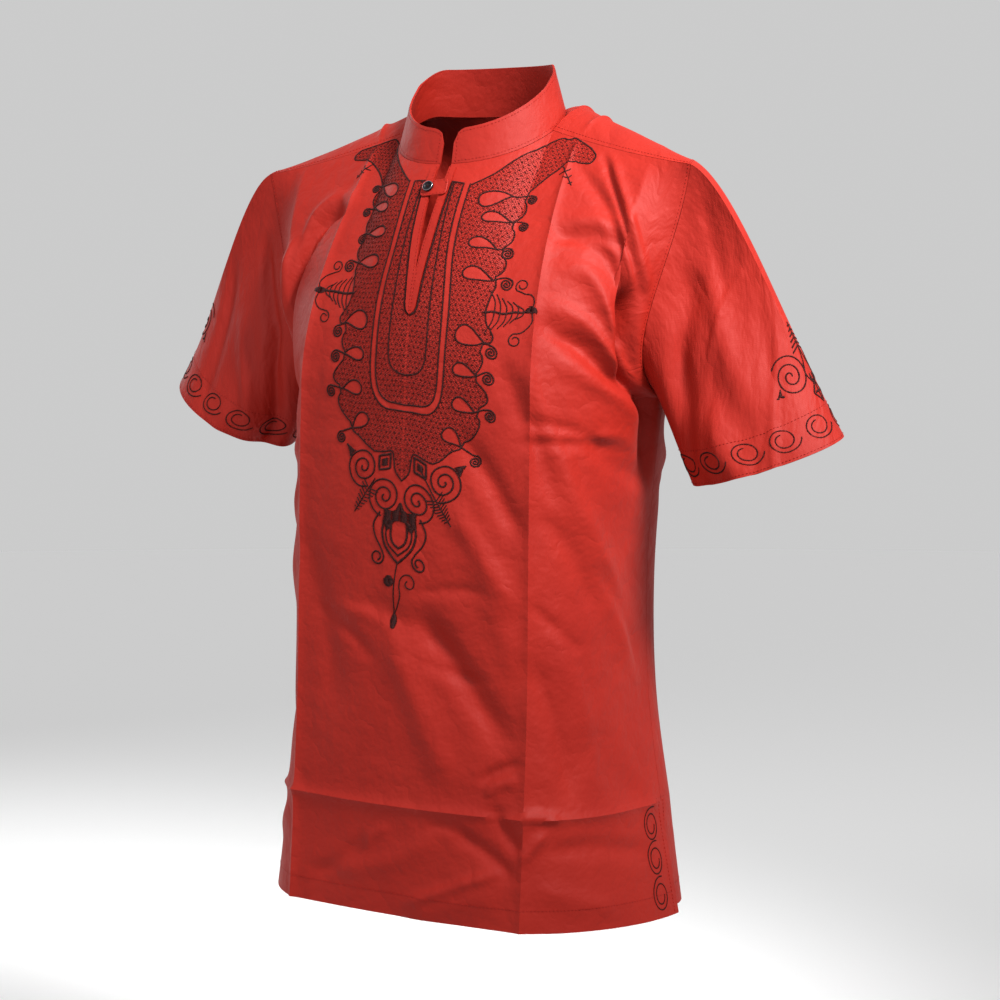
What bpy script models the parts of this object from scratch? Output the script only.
"""A short-sleeved dashiki shirt, built in its worn and hollow form.

The wearer faces -Y, the wearer's left is +X and up is +Z.  The origin is the
middle of the neck opening, level with the neck points, where the shirt hangs
on the shoulders.  Every panel is a grid of points on the outer face of the
cloth.  A panel is worked out for one half of the shirt in a frame where that
half lies at +X, and the other half is mirrored from its own row of sizes.
"""
import math
from collections import namedtuple

import bpy
import numpy as np

# ---------------------------------------------------------------- sizes, in metres
WALL = 0.0016                  # cloth, its facing and turnings together
SEAM_GAP = 0.0004              # clear space between two pieces at a seam
LAY_GAP = 0.0003               # clear space between a panel and what lies on it

STANCE = 0.035                 # the wearer's left hangs lower, for each metre across

PANEL_HALF = 0.295             # centre line to side seam, along the cloth
UNDERARM_DROP = 0.255          # neck point down to the underarm
HEM_DROP = 0.727               # neck point down to the hem
VENT_DROP = 0.629              # neck point down to the top of the side vents
VENT_FLARE = 0.004             # at the hem, the front's vent edge stands out
VENT_TUCK = 0.010              # and the back's vent edge lies in behind it
VENT_SPREAD = 0.002            # and each draws away from the other

CREASE_SHARE = 0.41            # pressed crease, as a share of PANEL_HALF
CREASE_X = 0.120               # pressed crease, from the centre line
CREASE_DEPTH = 0.0025          # it stands out like this on the chest and shoulder
CREASE_WIDTH = 0.009
CREASE_TURN = math.radians(22) # how sharply the cloth turns at the crease
CREASE_START_ROW = 0.7         # it starts to stand out at this row of the panel
CREASE_START = 0.5             # over this many rows

NECK_HALF_WIDTH = 0.083
NECK_FRONT = 0.0725            # neck centre to the front of the neck seam
NECK_BACK = 0.0615             # neck centre to the back of the neck seam
NECK_FRONT_DROP = 0.043        # the neck seam dips this far in front
NECK_BACK_RISE = 0.018         # behind the neck point the seam climbs by this much
NECK_RISE_TURN = math.radians(45)   # within this stretch of its way round
NECK_SHARE = 0.27              # share of PANEL_HALF that ends on the neck seam
NECK_POINT_TURN = math.radians(80)  # the shoulder seam's place round the neck
SHOULDER_DIP = 0.003           # the shoulder seam sags this much midway

SLIT_SHARE = 0.44              # the slit's foot, as a share of underarm to neck
SLIT_HALF = 0.0062             # half of the slit's width at the neck

COLLAR_FRONT_HEIGHT = 0.034
COLLAR_BACK_HEIGHT = 0.046
COLLAR_LEAN = 0.26             # inward lean for each metre of height
COLLAR_CORNER = 0.014          # radius of the collar's rounded front corners
COLLAR_WALL = 0.0022

PLACKET_WIDTH = 0.0085
PLACKET_ROWS = 2               # rows of the grid that it reaches below the slit
PLACKET_WALL = 0.0010

TAB_HEIGHT = 0.015
TAB_WALL = 0.0012
TAB_LEFT_END = 0.0125          # from the centre line to the tab's sewn end
TAB_RIGHT_END = -0.0145        # and to its rounded end
TAB_BELOW_NECK = 0.0300        # the tab's middle, down along the cloth from the neck seam
TAB_REST = 0.024               # the tab rests on the cloth within this of its middle
TAB_END_POINTS = 9             # points round the tab's rounded end
BUTTON_X = -0.0065
BUTTON_SIDES = 24
BUTTON_RADIUS = 0.0054
BUTTON_DEPTH = 0.0026

CLOTH_RED = (0.50, 0.030, 0.022)
CLOTH_ROUGHNESS = 0.5
BUTTON_BLACK = (0.010, 0.010, 0.012)
BUTTON_ROUGHNESS = 0.3
SHARP_ANGLE = math.radians(40) # faces that meet more sharply than this keep a hard edge

# ---------------------------------------------------------------- tables
Section = namedtuple("Section", "drop side_x side_y front_y crease_y back_y")
BODY = (
    Section(0.180, 0.190, 0.010, -0.145, -0.128, 0.116),
    Section(UNDERARM_DROP, 0.184, 0.010, -0.145, -0.130, 0.113),
    Section(0.330, 0.170, 0.020, -0.150, -0.132, 0.116),
    Section(0.430, 0.160, 0.026, -0.152, -0.134, 0.118),
    Section(0.530, 0.161, 0.028, -0.153, -0.136, 0.122),
    Section(0.640, 0.179, 0.020, -0.155, -0.143, 0.127),
    Section(HEM_DROP, 0.197, 0.010, -0.157, -0.150, 0.128),
)

# One row for each side: the shoulder tip and the middle of the sleeve's hem,
# with the slope of that hem's line.
Arm = namedtuple("Arm", "side tip_x tip_y tip_drop cuff_x cuff_y cuff_drop slope")
ARMS = (
    Arm(1, 0.228, -0.026, 0.044, 0.290, 0.004, 0.308, math.radians(17)),
    Arm(-1, 0.232, -0.024, 0.043, 0.296, 0.010, 0.281, math.radians(27)),
)
CUFF_HALF_WIDTH = 0.073
CUFF_HALF_DEPTH = 0.050
SHOULDER_HOLD = 0.75           # how far the sleeve's head carries the shoulder's line on
ARMPIT_SPREAD = 0.50           # how far its underside leaves the body sideways
CUFF_DIP = 0.28                # how much the front of a sleeve's hem hangs lower
SLEEVE_LEAVE = 0.45            # strength of the sleeve's curve at the armhole
SLEEVE_ARRIVE = 1.05           # and at its hem

# How a panel's edge at the armhole leaves the underarm.
FRONT_ARMHOLE_WAY = (-0.040, -0.260, 0.100)
BACK_ARMHOLE_WAY = (-0.040, 0.200, 0.120)
ARMHOLE_START = 0.55           # the share from which the armhole's edge has a say
# How a panel arrives at its top edge, at four places from the centre to the tip.
Way = namedtuple("Way", "share x y z")
FRONT_TOP_WAYS = (
    Way(0.0, 0.0, 0.110, 0.150),
    Way(NECK_SHARE, 0.0, 0.145, 0.180),
    Way(0.80, 0.010, 0.130, 0.165),
    Way(1.0, 0.050, -0.020, 0.280),
)
BACK_TOP_WAYS = (
    Way(0.0, 0.0, -0.090, 0.200),
    Way(NECK_SHARE, -0.110, -0.260, -0.330),
    Way(0.80, 0.010, -0.240, -0.215),
    Way(1.0, 0.020, -0.190, -0.120),
)

# A fold runs from its start to its end on the flat panel.  x is measured from
# the centre line towards the wearer's left, drop is measured down from the
# neck points.  bow bends the fold's line sideways, width is its half width and
# depth is positive for a ridge and negative for a trough.
Fold = namedtuple("Fold", "x0 drop0 x1 drop1 bow width depth")
FRONT_FOLDS = (
    Fold(0.145, 0.040, 0.280, 0.175, 0.012, 0.010, -0.005),
    Fold(0.130, 0.113, 0.215, 0.120, 0.000, 0.007, -0.003),
    Fold(0.195, 0.122, 0.282, 0.215, 0.020, 0.016, -0.010),
    Fold(0.160, 0.202, 0.255, 0.248, 0.004, 0.009, -0.004),
    Fold(0.115, 0.298, 0.250, 0.306, 0.004, 0.007, -0.003),
    Fold(0.160, 0.335, 0.268, 0.505, 0.006, 0.016, 0.006),
    Fold(0.180, 0.560, 0.262, 0.620, 0.000, 0.020, -0.004),
    Fold(-0.040, 0.448, 0.045, 0.490, 0.006, 0.012, -0.003),
    Fold(0.010, 0.725, 0.100, 0.694, 0.000, 0.014, 0.004),
    Fold(-0.070, 0.692, 0.035, 0.652, -0.010, 0.010, 0.003),
    Fold(-0.140, 0.060, -0.270, 0.190, 0.010, 0.012, -0.006),
    Fold(-0.150, 0.240, -0.262, 0.300, 0.006, 0.016, -0.006),
    Fold(-0.150, 0.400, -0.262, 0.520, 0.010, 0.018, 0.005),
)
BACK_FOLDS = (
    Fold(0.120, 0.060, 0.262, 0.210, 0.016, 0.016, -0.007),
    Fold(-0.130, 0.070, -0.268, 0.200, 0.012, 0.015, -0.006),
    Fold(0.262, 0.270, 0.090, 0.395, -0.012, 0.018, -0.006),
    Fold(-0.255, 0.290, -0.080, 0.410, -0.010, 0.017, -0.005),
    Fold(0.035, 0.360, 0.150, 0.455, 0.000, 0.016, 0.004),
    Fold(-0.030, 0.330, -0.120, 0.440, 0.008, 0.014, 0.004),
    Fold(0.060, 0.520, 0.085, 0.735, 0.012, 0.026, 0.006),
    Fold(-0.100, 0.540, -0.120, 0.735, -0.010, 0.024, 0.005),
)
PRESSED_DROP = 0.629           # the pressed crease that runs across the front
PRESSED_DEPTH = 0.0018
PRESSED_WIDTH = 0.010
FOLD_RUN_OUT = 0.15            # a fold runs on past its ends by this share of its length
FOLD_FADE = 0.35               # and fades in and out over this share
SIDE_FADE = 0.05               # folds flatten out within this share of the side seam
TOP_FADE = 0.08                # and within this many rows of the top edge
VENT_SHARE = 0.6               # from this share outwards the vents move the cloth

# The button's outline from the middle of its face to its foot, as shares of its
# radius and depth.
Turned = namedtuple("Turned", "radius height")
BUTTON_PROFILE = (
    Turned(0.00, 0.55),
    Turned(0.62, 0.55),
    Turned(0.74, 1.00),
    Turned(0.90, 1.00),
    Turned(1.00, 0.60),
    Turned(0.92, 0.00),
)

# ---------------------------------------------------------------- grids
HEM_TO_PRESSED = 4             # rows of the grid in each stretch, from the hem up
PRESSED_TO_UNDERARM = 13
UNDERARM_TO_SLIT = 5
SLIT_TO_NECK = 7
NECK_STEPS = 6                 # columns of the grid in each stretch, centre to side
NECK_TO_CREASE = 3
CREASE_TO_SIDE = 9
SLEEVE_ROWS = 9
COLLAR_ROWS = 4


def steps(start, end, count):
    """Evenly spaced values, without the last one."""
    return np.linspace(start, end, count, endpoint=False)


# A column's place is its share of the way from the centre line to the side.
PLACKET_SHARE = PLACKET_WIDTH / PANEL_HALF
COLUMNS = np.concatenate((
    (0.0,),
    steps(PLACKET_SHARE, NECK_SHARE, NECK_STEPS - 1),
    steps(NECK_SHARE, CREASE_SHARE, NECK_TO_CREASE),
    np.linspace(CREASE_SHARE, 1.0, CREASE_TO_SIDE + 1)))
# A row's place runs from 0 at the hem to 1 at the underarm and 2 at the top.
PRESSED_ROW = (HEM_DROP - PRESSED_DROP) / (HEM_DROP - UNDERARM_DROP)
ROWS = np.concatenate((
    steps(0.0, PRESSED_ROW, HEM_TO_PRESSED),
    steps(PRESSED_ROW, 1.0, PRESSED_TO_UNDERARM),
    steps(1.0, 1.0 + SLIT_SHARE, UNDERARM_TO_SLIT),
    np.linspace(1.0 + SLIT_SHARE, 2.0, SLIT_TO_NECK + 1)))
UNDERARM_ROW = HEM_TO_PRESSED + PRESSED_TO_UNDERARM
SLIT_ROW = UNDERARM_ROW + UNDERARM_TO_SLIT


# ---------------------------------------------------------------- curves
def through(table, column, at):
    """A smooth curve through one named column of a table of sections."""
    knots = np.array([row.drop for row in table])
    values = np.array([getattr(row, column) for row in table])
    slopes = np.gradient(values, knots)
    i = np.clip(np.searchsorted(knots, at) - 1, 0, len(knots) - 2)
    span = knots[i + 1] - knots[i]
    return hermite(values[i], slopes[i] * span, values[i + 1], slopes[i + 1] * span,
                   (at - knots[i]) / span)


def hermite(start, start_way, end, end_way, w):
    """A cubic from start to end that leaves and arrives along the given ways."""
    return ((2 * w**3 - 3 * w**2 + 1) * start + (w**3 - 2 * w**2 + w) * start_way
            + (3 * w**2 - 2 * w**3) * end + (w**3 - w**2) * end_way)


def soft_step(w):
    """0 to 1 with soft ends."""
    w = np.clip(w, 0.0, 1.0)
    return w * w * (3 - 2 * w)


def unit(ways):
    return ways / np.linalg.norm(ways, axis=-1, keepdims=True)


def points(x, y, z):
    return np.stack(np.broadcast_arrays(x, y, z), axis=-1)


# ---------------------------------------------------------------- the body's sections
QUARTER = 1.66                 # the way's length that makes a cubic a quarter ellipse
FRONT_ROUND = 0.62             # the front keeps this much of that behind the crease
FRONT_SIDE = 1.25              # and holds the side seam's line this strongly
BACK_SQUARE = 1.10             # the back is a little squarer than an ellipse
BACK_SIDE = 1.15
RISE = 0.27                    # how strongly the chest goes on upwards
SLOPE_STEP = 0.01              # drop between the two sections that give a slope


def front_section(share, drop):
    """The front's outline at one height: flat to the pressed crease, then round."""
    front_y = through(BODY, "front_y", drop)
    crease_y = through(BODY, "crease_y", drop)
    side_x = through(BODY, "side_x", drop)
    side_y = through(BODY, "side_y", drop)
    w = share / CREASE_SHARE
    flat_x = CREASE_X * w
    flat_y = front_y + (crease_y - front_y) * w**2
    turn = np.arctan(2 * (crease_y - front_y) / CREASE_X) + CREASE_TURN
    reach = QUARTER * (side_y - crease_y) * FRONT_ROUND
    w = (share - CREASE_SHARE) / (1 - CREASE_SHARE)
    round_x = hermite(CREASE_X, np.cos(turn) * reach, side_x, 0.0, w)
    round_y = hermite(crease_y, np.sin(turn) * reach, side_y, reach * FRONT_SIDE, w)
    inside = share < CREASE_SHARE
    return np.where(inside, flat_x, round_x), np.where(inside, flat_y, round_y)


def back_section(share, drop):
    """The back's outline at one height: one round sweep, a little boxy."""
    back_y = through(BODY, "back_y", drop)
    side_x = through(BODY, "side_x", drop)
    side_y = through(BODY, "side_y", drop)
    x = hermite(0.0, QUARTER * BACK_SQUARE * side_x, side_x, 0.0, share)
    y = hermite(back_y, 0.0, side_y, -QUARTER * BACK_SIDE * (back_y - side_y), share)
    return x, y


# ---------------------------------------------------------------- the top's lines
def neck_line(turn):
    """A point of the neck seam, from 0 at the front to pi at the back."""
    ahead = np.cos(turn)
    y = np.where(ahead > 0, -NECK_FRONT * ahead, -NECK_BACK * ahead)
    z = -NECK_FRONT_DROP * np.maximum(ahead, 0.0)
    z = z + NECK_BACK_RISE * soft_step((turn - NECK_POINT_TURN) / NECK_RISE_TURN)
    return points(NECK_HALF_WIDTH * np.sin(turn), y, z)


def top_line(share, arm, centre_turn):
    """The panel's top edge: the neck seam, then the shoulder seam out to the tip."""
    w = np.clip(share / NECK_SHARE, 0, 1)
    neck = neck_line(centre_turn + (NECK_POINT_TURN - centre_turn) * w)
    neck_point = neck_line(np.array(NECK_POINT_TURN))
    tip = np.array((arm.tip_x, arm.tip_y, -arm.tip_drop))
    w = np.clip((share - NECK_SHARE) / (1 - NECK_SHARE), 0, 1)[..., None]
    dip = np.array((0.0, 0.0, SHOULDER_DIP)) * 4 * w * (1 - w)
    shoulder = neck_point + (tip - neck_point) * w - dip
    return np.where((share < NECK_SHARE)[..., None], neck, shoulder)


def mixed_ways(share, table):
    """Blend the ways of a table between its shares."""
    at = [row.share for row in table]
    return points(*(np.interp(share, at, [getattr(row, axis) for row in table])
                    for axis in "xyz"))


def rising_way(section, share, armhole_way):
    """How a panel leaves the underarm: on upwards, and round the armhole at its edge."""
    x_above, y_above = section(share, np.full_like(share, UNDERARM_DROP - SLOPE_STEP))
    x_below, y_below = section(share, np.full_like(share, UNDERARM_DROP + SLOPE_STEP))
    climb = 2 * SLOPE_STEP
    up = points((x_above - x_below) / climb, (y_above - y_below) / climb, 1.0) * RISE
    to_edge = soft_step((share - ARMHOLE_START) / (1 - ARMHOLE_START))[..., None]
    return up + (np.array(armhole_way) - up) * to_edge


def front_points(share, row, arm):
    """The front's outer face, before its folds."""
    drop = HEM_DROP - (HEM_DROP - UNDERARM_DROP) * np.minimum(row, 1)
    x, y = front_section(share, drop)
    lower = points(x, y, -drop)
    start_way = rising_way(front_section, share, FRONT_ARMHOLE_WAY)
    end_way = mixed_ways(share, FRONT_TOP_WAYS)
    w = np.clip(row - 1, 0, 1)[..., None]
    upper = hermite(lower, start_way, top_line(share, arm, 0.0), end_way, w)
    slit = SLIT_HALF * np.clip((w[..., 0] - SLIT_SHARE) / (1 - SLIT_SHARE), 0, 1)
    upper[..., 0] += slit * (1 - soft_step(share / NECK_SHARE))
    return np.where((row > 1)[..., None], upper, lower)


def back_points(share, row, arm):
    """The back's outer face, before its folds."""
    drop = HEM_DROP - (HEM_DROP - UNDERARM_DROP) * np.minimum(row, 1)
    x, y = back_section(share, drop)
    lower = points(x, y, -drop)
    start_way = rising_way(back_section, share, BACK_ARMHOLE_WAY)
    end_way = mixed_ways(share, BACK_TOP_WAYS)
    w = np.clip(row - 1, 0, 1)[..., None]
    upper = hermite(lower, start_way, top_line(share, arm, math.pi), end_way, w)
    return np.where((row > 1)[..., None], upper, lower)


# ---------------------------------------------------------------- folds
def fold_height(folds, x, drop):
    """How far the folds lift the cloth at each place of the flat panel."""
    height = np.zeros_like(x)
    for fold in folds:
        along = np.array((fold.x1 - fold.x0, fold.drop1 - fold.drop0))
        length = np.hypot(*along)
        way = along / length
        t = ((x - fold.x0) * way[0] + (drop - fold.drop0) * way[1]) / length
        off = (x - fold.x0) * way[1] - (drop - fold.drop0) * way[0]
        off = off - fold.bow * 4 * t * (1 - t)
        fade = (soft_step((t + FOLD_RUN_OUT) / FOLD_FADE)
                * soft_step((1 + FOLD_RUN_OUT - t) / FOLD_FADE))
        height += fold.depth * np.exp(-(off / fold.width)**2) * fade
    return height


def panel_drop(row):
    """A row's place on the flat panel, down from the neck points."""
    lower = HEM_DROP - (HEM_DROP - UNDERARM_DROP) * row
    return np.where(row < 1, lower, UNDERARM_DROP * (2 - row))


def outward(grid, face):
    """The cloth's outward way at each point of a grid of rows and columns."""
    across = np.gradient(grid, axis=1)
    up = np.gradient(grid, axis=0)
    return unit(np.cross(across, up)) * face


def panel_half(shape, folds, arm, face):
    """One half of the front or back, with its folds, and its outward ways."""
    share, row = np.meshgrid(COLUMNS, ROWS)
    grid = shape(share, row, arm)
    ways = outward(grid, face)
    ways[:, 0, 0] = 0.0
    drop = panel_drop(row)
    lift = fold_height(folds, share * PANEL_HALF * arm.side, drop)
    if face > 0:
        lift += PRESSED_DEPTH * np.exp(-np.abs(drop - PRESSED_DROP) / PRESSED_WIDTH)
    from_crease = np.abs(share - CREASE_SHARE) * PANEL_HALF
    standing = soft_step((row - CREASE_START_ROW) / CREASE_START)
    lift += CREASE_DEPTH * np.exp(-from_crease / CREASE_WIDTH) * standing
    edge = soft_step((1 - share) / SIDE_FADE) * soft_step((2 - row) / TOP_FADE)
    grid = grid + ways * (lift * edge)[..., None]
    vent = np.clip((drop - VENT_DROP) / (HEM_DROP - VENT_DROP), 0, 1)
    vent = vent * soft_step((share - VENT_SHARE) / (1 - VENT_SHARE))
    grid[..., 0] += vent * (VENT_FLARE if face > 0 else -VENT_TUCK)
    grid[..., 1] -= vent * face * VENT_SPREAD
    ways = outward(grid, face)
    joined = len(ROWS) if face < 0 else SLIT_ROW + 1
    ways[:joined, 0, 0] = 0.0
    return grid, unit(ways)


# ---------------------------------------------------------------- sleeves and collar
def armhole(front, back):
    """Points or ways round the armhole, from the tip down the front and up the back."""
    return np.concatenate((front[:UNDERARM_ROW - 1:-1], back[UNDERARM_ROW + 1:]))


def sleeve_grid(arm, front, front_ways, back, back_ways):
    """Rows run from the armhole to the hem, columns from the tip round the front."""
    hole = armhole(front[:, -1], back[:, -1])
    out = -armhole(into_piece(front[:, -1], front[:, -2], front_ways[:, -1]),
                   into_piece(back[:, -1], back[:, -2], back_ways[:, -1]))
    turn = np.linspace(0, 2 * math.pi, len(hole))
    rise = np.array((math.cos(arm.slope), 0.0, math.sin(arm.slope)))
    cuff = np.array((arm.cuff_x, arm.cuff_y, -arm.cuff_drop))
    cuff = (cuff + CUFF_HALF_WIDTH * np.cos(turn)[:, None] * rise
            + CUFF_HALF_DEPTH * np.sin(turn)[:, None] * np.array((0.0, -1.0, -CUFF_DIP)))
    reach = np.linalg.norm(cuff - hole, axis=1, keepdims=True)
    straight = unit(cuff - hole)
    at_tip = 0.5 + 0.5 * np.cos(turn)[:, None]
    sideways = np.array((1.0, 0.0, 0.0))
    leave = unit(SHOULDER_HOLD * at_tip * out + (1 - SHOULDER_HOLD * at_tip) * straight
                 + ARMPIT_SPREAD * (1 - at_tip) * sideways)
    w = np.linspace(0, 1, SLEEVE_ROWS + 1)[:, None, None]
    grid = hermite(hole, leave * reach * SLEEVE_LEAVE,
                   cuff, straight * reach * SLEEVE_ARRIVE, w)
    grid[:, -1] = grid[:, 0]
    return grid


def ring_outward(grid, face):
    """Outward ways of a grid whose last column closes on its first."""
    closed = np.concatenate((grid[:, -2:-1], grid, grid[:, 1:2]), axis=1)
    return outward(closed, face)[:, 1:-1]


def collar_grid(front, back):
    """The standing band: rows run up, columns from the front end to the back."""
    seam = np.concatenate((front[-1, :NECK_STEPS + 1], back[-1, NECK_STEPS - 1::-1]))
    around = np.linspace(0, 1, len(seam))
    length = np.concatenate(((0.0,), np.cumsum(np.linalg.norm(np.diff(seam, axis=0), axis=1))))
    height = COLLAR_FRONT_HEIGHT + (COLLAR_BACK_HEIGHT - COLLAR_FRONT_HEIGHT) * soft_step(around)
    corner = np.clip(1 - length / COLLAR_CORNER, 0, 1)
    height = height - COLLAR_CORNER * (1 - np.sqrt(1 - corner**2))
    inward = -seam * np.array((1.0, 1.0, 0.0))
    up = np.array((0.0, 0.0, 1.0)) + COLLAR_LEAN * unit(inward)
    w = np.linspace(0, 1, COLLAR_ROWS + 1)[:, None, None]
    return seam + w * height[:, None] * up


# ---------------------------------------------------------------- meshes
def material(name, colour, roughness):
    made = bpy.data.materials.new(name)
    made.use_nodes = True
    shader = made.node_tree.nodes["Principled BSDF"]
    shader.inputs["Base Color"].default_value = (*colour, 1.0)
    shader.inputs["Roughness"].default_value = roughness
    return made


def cloth(piece):
    return material(piece + "_cloth", CLOTH_RED, CLOTH_ROUGHNESS)


def solid_mesh(name, found, faces, finish):
    """One named object from its points and faces."""
    mesh = bpy.data.meshes.new(name)
    mesh.from_pydata([tuple(point) for point in found], [], faces)
    mesh.shade_smooth()
    mesh.set_sharp_from_angle(angle=SHARP_ANGLE)
    mesh.materials.append(finish)
    thing = bpy.data.objects.new(name, mesh)
    bpy.context.scene.collection.objects.link(thing)
    return thing


class Sheet:
    """Points on the outer face of one piece of cloth, with ways and faces."""

    def __init__(self):
        self.points = []
        self.ways = []
        self.faces = []
        self.places = {}

    def add_point(self, point, way):
        key = tuple(round(value * 1e6) for value in point)
        if key in self.places:
            index = self.places[key]
            self.ways[index] = self.ways[index] + way
            return index
        self.places[key] = len(self.points)
        self.points.append(point)
        self.ways.append(np.array(way))
        return len(self.points) - 1

    def add_grid(self, grid, ways, turned, keep=None):
        """Join a grid on, at coinciding points to what is there already."""
        rows, columns = grid.shape[:2]
        index = [[self.add_point(grid[j, i], ways[j, i]) for i in range(columns)]
                 for j in range(rows)]
        for j in range(rows - 1):
            for i in range(columns - 1):
                if keep is not None and not keep(j, i):
                    continue
                face = (index[j][i], index[j][i + 1], index[j + 1][i + 1], index[j + 1][i])
                self.faces.append(face[::-1] if turned else face)

    def solid(self, name, wall, finish):
        """Give the sheet its thickness, inwards, as one closed body."""
        outer = np.array(self.points)
        inner = outer - wall * unit(np.array(self.ways))
        count = len(outer)
        faces = list(self.faces)
        faces += [tuple(count + k for k in face[::-1]) for face in self.faces]
        sides = {(a, b) for face in self.faces for a, b in zip(face, face[1:] + face[:1])}
        faces += [(b, a, a + count, b + count) for a, b in sorted(sides) if (b, a) not in sides]
        return solid_mesh(name, np.concatenate((outer, inner)), faces, finish)


def mirrored(grid, side):
    """Put a half's points or ways on its own side of the shirt."""
    return grid * np.array((side, 1.0, 1.0))


def stance(grid, side):
    """Put a half's points on its side, with the wearer's left a little lower."""
    placed = mirrored(grid, side)
    placed[..., 2] -= STANCE * placed[..., 0]
    return placed


def share_ways(first, second):
    """Two pieces that meet at a seam lean their edges the same way there."""
    common = unit(first + second)
    first[...] = common
    second[...] = common


def into_piece(edge, neighbour, ways):
    """The ways that lie in the cloth, square to its edge and into its own piece."""
    square = unit(np.cross(ways, np.gradient(edge, axis=0)))
    return square * np.sign(np.sum(square * (neighbour - edge), axis=1, keepdims=True))


def pull_back(edge, neighbour, ways):
    """Move a seam's edge back into its own piece by half of the seam's gap."""
    edge += into_piece(edge, neighbour, ways) * (SEAM_GAP / 2)


def build_half(arm):
    """All the cloth of one side, with its seams opened and its edges matched."""
    front, front_ways = panel_half(front_points, FRONT_FOLDS, arm, 1)
    back, back_ways = panel_half(back_points, BACK_FOLDS, arm, -1)
    sleeve = sleeve_grid(arm, front, front_ways, back, back_ways)
    sleeve_ways = ring_outward(sleeve, 1)
    collar = collar_grid(front, back)
    collar_ways = outward(collar, 1)
    collar_ways[:, -1, 0] = 0.0

    side_seam = slice(HEM_TO_PRESSED, UNDERARM_ROW + 1)
    share_ways(front_ways[side_seam, -1], back_ways[side_seam, -1])
    for grid, ways in ((front, front_ways), (back, back_ways)):
        pull_back(grid[side_seam, -1], grid[side_seam, -2], ways[side_seam, -1])
    share_ways(front_ways[-1, NECK_STEPS:], back_ways[-1, NECK_STEPS:])
    hole_ways = armhole(front_ways[:, -1], back_ways[:, -1])
    share_ways(hole_ways, sleeve_ways[0])
    holes = len(ROWS) - UNDERARM_ROW
    front_ways[UNDERARM_ROW:, -1] = hole_ways[:holes][::-1]
    back_ways[UNDERARM_ROW:, -1] = hole_ways[holes - 1:]
    neck_ways = np.concatenate((front_ways[-1, :NECK_STEPS + 1],
                                back_ways[-1, NECK_STEPS - 1::-1]))
    share_ways(neck_ways, collar_ways[0])
    front_ways[-1, :NECK_STEPS + 1] = neck_ways[:NECK_STEPS + 1]
    back_ways[-1, NECK_STEPS::-1] = neck_ways[NECK_STEPS:]

    for grid, ways in ((front, front_ways), (back, back_ways)):
        pull_back(grid[UNDERARM_ROW:, -1], grid[UNDERARM_ROW:, -2], ways[UNDERARM_ROW:, -1])
        for columns in (slice(0, NECK_STEPS + 1), slice(NECK_STEPS, None)):
            pull_back(grid[-1, columns], grid[-2, columns], ways[-1, columns])
    pull_back(sleeve[0], sleeve[1], sleeve_ways[0])
    sleeve[0, -1] = sleeve[0, 0]
    pull_back(collar[0], collar[1], collar_ways[0])
    back[-1, 0, 0] = 0.0
    collar[0, -1, 0] = 0.0
    return {"front": (front, front_ways), "back": (back, back_ways),
            "sleeve": (sleeve, sleeve_ways), "collar": (collar, collar_ways)}


def build_cloth():
    """The panels, sleeves and collar."""
    halves = {arm.side: build_half(arm) for arm in ARMS}
    for piece, wall in (("front", WALL), ("back", WALL), ("collar", COLLAR_WALL)):
        sheet = Sheet()
        for side, half in halves.items():
            grid, ways = half[piece]
            turned = (side < 0) != (piece == "back")
            sheet.add_grid(stance(grid, side), mirrored(ways, side), turned)
        sheet.solid(piece, wall, cloth(piece))
    for side, name in ((1, "sleeve_left"), (-1, "sleeve_right")):
        grid, ways = halves[side]["sleeve"]
        sheet = Sheet()
        sheet.add_grid(stance(grid, side), mirrored(ways, side), side < 0)
        sheet.solid(name, WALL, cloth(name))
    return halves


# ---------------------------------------------------------------- placket, tab and button
def build_placket(halves):
    """The strip round the slit, from the front's points moved out."""
    sheet = Sheet()
    low = SLIT_ROW - PLACKET_ROWS
    for side, half in halves.items():
        grid, ways = (part[low:, :2].copy() for part in half["front"])
        grid += ways * (LAY_GAP + PLACKET_WALL)
        pull_back(grid[-1], grid[-2], ways[-1])
        sheet.add_grid(stance(grid, side), mirrored(ways, side), side < 0)
    return sheet.solid("placket", PLACKET_WALL, cloth("placket"))


def tab_plane(halves):
    """The tab's middle, its ways across, up and out, and the height it lies at."""
    over, under = (halves[1]["front"][0][row, 0] for row in (-1, SLIT_ROW))
    up = unit((over - under) * np.array((0.0, 1.0, 1.0)))
    across = np.array((1.0, 0.0, -STANCE))
    out = unit(np.cross(across, up))
    middle = over * np.array((0.0, 1.0, 1.0)) - up * TAB_BELOW_NECK
    top = 0.0
    for side, half in halves.items():
        grid, ways = half["front"]
        face = stance(grid + ways * (LAY_GAP + PLACKET_WALL), side)[SLIT_ROW:, :2]
        near = np.abs((face - middle) @ up) < TAB_REST
        top = max(top, ((face - middle) @ out)[near].max())
    return middle, across, up, out, top + LAY_GAP


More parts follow.
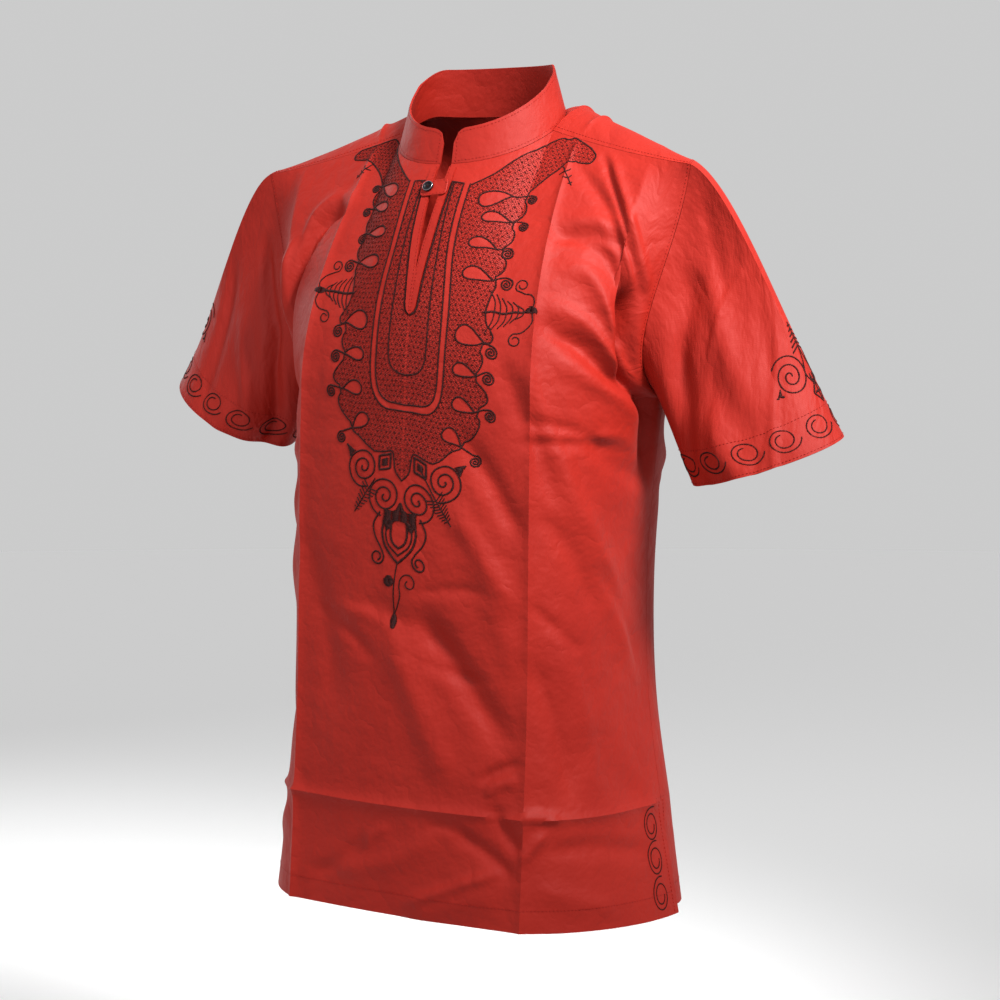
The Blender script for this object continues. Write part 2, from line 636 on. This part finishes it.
def build_tab(halves):
    """A cloth tab with one rounded end, lying on the placket across the slit."""
    middle, across, up, out, height = tab_plane(halves)
    turn = np.linspace(math.pi / 2, 3 * math.pi / 2, TAB_END_POINTS)
    half = TAB_HEIGHT / 2
    outline = [(TAB_LEFT_END, -half), (TAB_LEFT_END, half)]
    outline += [(TAB_RIGHT_END + half * (1 + math.cos(a)), half * math.sin(a)) for a in turn]
    rim = [middle + x * across + y * up for x, y in outline]
    count = len(rim)
    base = [point + height * out for point in rim]
    face = [point + (height + TAB_WALL) * out for point in rim]
    faces = [tuple(range(count))[::-1], tuple(range(count, 2 * count))]
    faces += [(k, (k + 1) % count, count + (k + 1) % count, count + k) for k in range(count)]
    return solid_mesh("button_tab", base + face, faces, cloth("button_tab"))


def build_button(halves):
    """A turned button with a raised rim, lying on the tab."""
    middle, across, up, out, height = tab_plane(halves)
    centre = middle + BUTTON_X * across + (height + TAB_WALL + LAY_GAP) * out
    ring = np.linspace(0, 2 * math.pi, BUTTON_SIDES, endpoint=False)
    found = [centre + BUTTON_DEPTH * BUTTON_PROFILE[0].height * out]
    for row in BUTTON_PROFILE[1:]:
        found += [centre + BUTTON_RADIUS * row.radius * (math.cos(a) * across + math.sin(a) * up)
                  + BUTTON_DEPTH * row.height * out for a in ring]
    found.append(centre)
    last = len(found) - 1
    faces = []
    for k in range(BUTTON_SIDES):
        after = (k + 1) % BUTTON_SIDES
        faces.append((0, 1 + k, 1 + after))
        for level in range(len(BUTTON_PROFILE) - 2):
            low = 1 + level * BUTTON_SIDES
            high = low + BUTTON_SIDES
            faces.append((low + k, high + k, high + after, low + after))
        low = 1 + (len(BUTTON_PROFILE) - 2) * BUTTON_SIDES
        faces.append((low + k, last, low + after))
    return solid_mesh("button", found, faces,
                      material("button_horn", BUTTON_BLACK, BUTTON_ROUGHNESS))


def clear_scene():
    for thing in list(bpy.data.objects):
        bpy.data.objects.remove(thing, do_unlink=True)


def main():
    clear_scene()
    halves = build_cloth()
    build_placket(halves)
    build_tab(halves)
    build_button(halves)


main()
